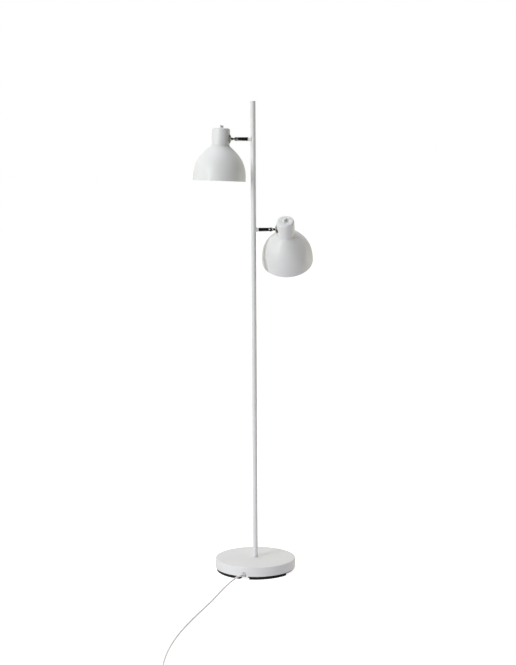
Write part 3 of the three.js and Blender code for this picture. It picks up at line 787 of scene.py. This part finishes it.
def make_rosette(name):
    """The domed dish that beds on the round neck."""
    hole = 4.5
    steps = 12

    def dome(edge, lift):
        points = []
        for i in range(steps + 1):
            across = hole + (edge - hole) * i / steps
            points.append((across, ROSETTE_APEX + lift + ROSETTE_RISE * (across / ROSETTE_RADIUS) ** 2))
        return points

    outside = dome(ROSETTE_RADIUS, 0)
    inside = dome(ROSETTE_RADIUS - ROSETTE_WALL, ROSETTE_WALL)[::-1]
    far = ROSETTE_APEX + 15
    profile = [*outside, (ROSETTE_RADIUS, far), (ROSETTE_RADIUS - ROSETTE_WALL, far), *inside]
    dish = turned(f"{name}_dish", profile, 96, ALONG_X)
    neck = rod("neck_tool", NECK_RADIUS + GAP, -40, 40, Matrix.Translation((NECK_AXIS * MM, 0, 0)), 128)
    boolean(dish, neck)
    bevel(dish, 0.25, 2)
    dish.data.transform(head_frame(name))
    return place(dish, "satin_steel", f"{name}_head", f"{name}_rosette", smooth=30)


def on_neck(name):
    return head_frame(name) @ Matrix.Translation((NECK_AXIS * MM, 0, 0))


def make_neck(name):
    """The round cover over the lampholder and the switch, with a soft top edge."""
    wall, edge = 1.2, NECK_EDGE
    inner = NECK_RADIUS - wall
    profile = [
        (inner, NECK_BOTTOM), (NECK_RADIUS - 0.25, NECK_BOTTOM), (NECK_RADIUS, NECK_BOTTOM + 0.25),
        (NECK_RADIUS, 0),
        *arc(NECK_RADIUS - edge, NECK_TOP - edge, edge, 0, 90, 12),
        (9.2, NECK_TOP), (8.9, NECK_TOP - 0.15), (3.3, NECK_TOP - 0.15), (3.3, NECK_TOP - wall),
        *arc(NECK_RADIUS - edge, NECK_TOP - edge, edge - wall, 90, 0, 6),
    ]
    cover = turned(f"{name}_neck", profile, 128)
    boolean(cover, rod("way_in", 3.7, -33, -23, ALONG_X, 32))
    cover.data.transform(on_neck(name))
    return place(cover, "white_paint", f"{name}_head", f"{name}_neck_cover", smooth=30)


def make_shade(name):
    """The spun bell: it flares softly from the neck, with a rolled rim and a flange inside."""
    top = NECK_BOTTOM - GAP
    wall = SHADE_WALL
    steps = 40

    def bell(inset, low):
        points = []
        for i in range(steps + 1):
            height = low + (top - inset - SHADE_RIM - low) * i / steps
            share = 1 - (height / (SHADE_CURVE_HEIGHT - inset)) ** SHADE_CURVE_POWER
            bell_radius = (SHADE_RADIUS - inset) * share
            neck_radius = NECK_RADIUS + GAP - inset
            blended = (bell_radius ** SHADE_BLEND + neck_radius ** SHADE_BLEND) ** (1 / SHADE_BLEND)
            points.append((blended, SHADE_RIM + height))
        return points

    bead = 0.9
    rim = arc(SHADE_RADIUS - bead, SHADE_RIM + bead, bead, -180, 0, 8)
    outside = bell(0, 1.8)
    inside = bell(wall, 2.2)[::-1]
    profile = [*rim, *outside, (27.9, top), (20.4, top), (20.4, top - wall), *inside]
    shade = turned(f"{name}_bell", profile, 160, on_neck(name))
    return place(shade, "white_paint", f"{name}_head", f"{name}_shade", smooth=35)


def make_holder(name):
    """The lampholder with its ribbed skirt, and the ring that clamps the shade."""
    bore, radius, shoulder = 13.8, 19.6, NECK_BOTTOM - GAP
    holder = turned(f"{name}_socket", [
        (bore, -44), (radius - 0.6, -44), (radius, -43.4),
        *[(radius - (0.5 if k % 2 else 0), -40 + 1.6 * k) for k in range(8)],
        (radius, shoulder + GAP), (23.6, shoulder + GAP), (23.6, shoulder + 4), (17.6, 5), (11.6, 11),
        (0, 11), (0, shoulder + 6), (bore, shoulder + 6),
    ], 80, on_neck(name))
    place(holder, "white_plastic", f"{name}_head", f"{name}_lampholder", smooth=30)
    top = NECK_BOTTOM - 2 * GAP - SHADE_WALL

    def ribs(angle):
        return 1 + 0.008 * math.cos(36 * angle)

    ring = turned(f"{name}_clamp_ring", [
        (19.95, top - 5), (22.9, top - 5), (23.4, top - 4.5), (23.4, top - 0.5), (23.0, top), (19.95, top),
    ], 216, on_neck(name), ribs)
    place(ring, "white_plastic", f"{name}_head", f"{name}_shade_ring", smooth=40)


def make_bulb(name):
    """An opal round bulb: a thin envelope that runs smoothly into its neck, and a screw cap."""
    low, radius, wall, open_end = -120, 28, 1.0, -44.3
    centre = low + radius

    def side(inset):
        neck = [(16.4 - inset, centre + 27), (14.4 - inset, centre + 33), (13.6 - inset, centre + 39)]
        round_part = arc(0, centre, radius - inset, -87, 48, 26)
        return [(0, low + inset), *round_part, *neck, (13.2 - inset, open_end)]

    glass = turned(f"{name}_bulb", [*side(0), *side(wall)[::-1]], 72, on_neck(name))
    place(glass, "opal_glass", f"{name}_head", f"{name}_bulb_glass", smooth=50)
    thread = [(13.2 - (0.7 if k % 2 else 0), -41 + 1.8 * k) for k in range(12)]
    outline = [(0, -44), (13.2, -44), *thread, (9, -18), (4, -16), (0, -15.8)]
    cap = turned(f"{name}_screw_cap", outline, 48, on_neck(name))
    place(cap, "zinc", f"{name}_head", f"{name}_bulb_cap", smooth=50)


def make_knob(name):
    """The rotary switch's knob: a low skirt with a finger bar across it."""
    low = NECK_TOP + GAP
    knob = turned(f"{name}_knob", [
        (0, low - 4.5), (3, low - 4.5), (3, low), (7.6, low),
        (8, low + 0.4), (8, low + 1.7), (7.2, low + 2.4), (0, low + 2.4),
    ], 72)
    grip = rounded_box("grip", (5, 18, 9), (0, 0, low + 3.7), 0.5)
    round_grip = turned("round", [
        (0, low + 0.5), (7.9, low + 0.5), (7.6, low + 7.8), (7.2, low + 8.2), (0, low + 8.2),
    ], 72)
    boolean(round_grip, grip, "INTERSECT")
    bevel(round_grip, 0.45, 3)
    boolean(knob, round_grip, "UNION")
    boolean(knob, rounded_box("mark", (0.8, 5, 1), (0, -4.6, low + 8.2), 0))
    knob.data.transform(on_neck(name) @ Matrix.Rotation(KNOB_ANGLE, 4, "Z"))
    return place(knob, "white_plastic", f"{name}_knob", f"{name}_switch_knob", smooth=30)


for name in SIDES:
    make_arm(name)
    make_knuckle(name)
    make_stem(name)
    make_rosette(name)
    make_neck(name)
    make_shade(name)
    make_holder(name)
    make_bulb(name)
    make_knob(name)


# ---------------------------------------------------------------- floor, light and world
ROOM_LEVEL = 0.07
SWEEP_LEVEL = 0.78
MIRRORED_ROOM_LEVEL = 0.01
FLOOR_GLOW = 0.79
FLOOR_GLOW_RADIUS = 2.1
LEVEL_COLOUR = (0.98, 1.0, 0.66, 1)
OVERHEAD_COLOUR = (1.0, 0.96, 1.0, 1)
COLOUR_RISE = (0.1, 0.5)
SWEEP_DEPTHS = (-0.25, 0.4)
MIRRORED_SWEEP_DEPTHS = (0.5, 0.85)
DAYLIGHT = (0.98, 1.0, 0.99)


def make_floor():
    """A pale seamless floor, seen only by the eye and lit up to white."""
    material, shader, node, wire = new_material("studio_floor")
    wire(tint(node, noise(node, 3.0), (0.93, 0.93, 0.93), (0.95, 0.95, 0.95)), "Base Color")
    shader.inputs["Roughness"].default_value = 0.9
    shader.inputs["Emission Color"].default_value = (1, 1, 1, 1)
    shader.inputs["Emission Strength"].default_value = 0.8
    half, low = 30, -0.0002
    corners = [(-half, -half, low), (half, -half, low), (half, half, low), (-half, half, low)]
    floor = mesh_of("studio_floor", corners, [[0, 1, 2, 3]])
    floor.data.materials.append(material)
    floor.visible_diffuse = False
    floor.visible_glossy = False


def make_floor_glow():
    """The light that the part of the floor around the base returns upwards."""
    material, shader, node, wire = new_material("floor_glow")
    wire(tint(node, noise(node, 3.0), (0.02, 0.02, 0.02), (0.03, 0.03, 0.03)), "Base Color")
    shader.inputs["Roughness"].default_value = 1.0
    shader.inputs["Emission Color"].default_value = (0.98, 0.945, 1.0, 1)
    shader.inputs["Emission Strength"].default_value = FLOOR_GLOW
    steps = 64
    ring = []
    for step in range(steps):
        angle = 2 * math.pi * step / steps
        ring.append((FLOOR_GLOW_RADIUS * math.cos(angle), FLOOR_GLOW_RADIUS * math.sin(angle), -0.001))
    glow = mesh_of("floor_glow", ring, [list(range(steps))])
    glow.data.materials.append(material)
    glow.visible_camera = False
    glow.visible_glossy = False
    glow.visible_shadow = False


def area_light(name, spot, target, size, power, colour):
    data = bpy.data.lights.new(name, "AREA")
    data.shape = "RECTANGLE"
    data.size, data.size_y = size
    data.energy = power
    data.color = colour
    light = bpy.data.objects.new(name, data)
    bpy.context.scene.collection.objects.link(light)
    light.location = spot
    light.visible_camera = False
    light.rotation_euler = (Vector(target) - Vector(spot)).to_track_quat("-Z", "Y").to_euler()
    return light


def make_world():
    """White to the eye. What lights the lamp: a pale sweep behind it and a dim room in front.

    The room is darker still for what the bright metal mirrors.
    """
    world = bpy.data.worlds.new("studio")
    world.use_nodes = True
    bpy.context.scene.world = world
    nodes, links = world.node_tree.nodes, world.node_tree.links
    nodes.clear()
    way = nodes.new("ShaderNodeTexCoord")
    parts = nodes.new("ShaderNodeSeparateXYZ")
    links.new(way.outputs["Generated"], parts.inputs[0])

    rise = nodes.new("ShaderNodeMapRange")
    links.new(parts.outputs["Z"], rise.inputs["Value"])
    rise.inputs["From Min"].default_value = COLOUR_RISE[0]
    rise.inputs["From Max"].default_value = COLOUR_RISE[1]
    colour = nodes.new("ShaderNodeMix")
    colour.data_type = "RGBA"
    colour.inputs["A"].default_value = LEVEL_COLOUR
    colour.inputs["B"].default_value = OVERHEAD_COLOUR
    links.new(rise.outputs["Result"], colour.inputs["Factor"])

    def room(start, end, dim):
        """Goes from dim to the sweep's level between two depths, from -1 in front to 1 behind."""
        sweep = nodes.new("ShaderNodeMapRange")
        links.new(parts.outputs["Y"], sweep.inputs["Value"])
        sweep.inputs["From Min"].default_value = start
        sweep.inputs["From Max"].default_value = end
        sweep.inputs["To Min"].default_value = dim
        sweep.inputs["To Max"].default_value = SWEEP_LEVEL
        shine = nodes.new("ShaderNodeBackground")
        links.new(colour.outputs["Result"], shine.inputs["Color"])
        links.new(sweep.outputs["Result"], shine.inputs["Strength"])
        return shine

    eye = nodes.new("ShaderNodeBackground")
    eye.inputs["Color"].default_value = (1, 1, 1, 1)
    path = nodes.new("ShaderNodeLightPath")
    mirrored = nodes.new("ShaderNodeMixShader")
    links.new(path.outputs["Is Glossy Ray"], mirrored.inputs[0])
    links.new(room(*SWEEP_DEPTHS, ROOM_LEVEL).outputs[0], mirrored.inputs[1])
    links.new(room(*MIRRORED_SWEEP_DEPTHS, MIRRORED_ROOM_LEVEL).outputs[0], mirrored.inputs[2])
    seen = nodes.new("ShaderNodeMixShader")
    links.new(path.outputs["Is Camera Ray"], seen.inputs[0])
    links.new(mirrored.outputs[0], seen.inputs[1])
    links.new(eye.outputs[0], seen.inputs[2])
    out = nodes.new("ShaderNodeOutputWorld")
    links.new(seen.outputs[0], out.inputs["Surface"])


make_floor()
make_floor_glow()
make_world()
area_light("key", (-2.8, -2.8, 2.1), (0, 0, 1.2), (1.2, 2.4), 108, DAYLIGHT)
area_light("front", (-1.1, -4.2, 1.7), (0, 0, 1.1), (1.2, 1.6), 13, DAYLIGHT)
area_light("side", (-3.6, -0.9, 2.0), (0, 0, 1.0), (0.5, 2.2), 8, (0.985, 1.0, 1.0))
area_light("rim", (1.6, 0.45, 1.0), (0, 0, 1.0), (0.6, 1.0), 6, (1.0, 0.99, 0.93))
area_light("top", (-0.6, 0.2, 4.2), (0, 0, 0), (2.0, 2.0), 37, (0.96, 0.95, 1.0)).visible_glossy = False
bpy.context.scene.view_settings.view_transform = "Standard"
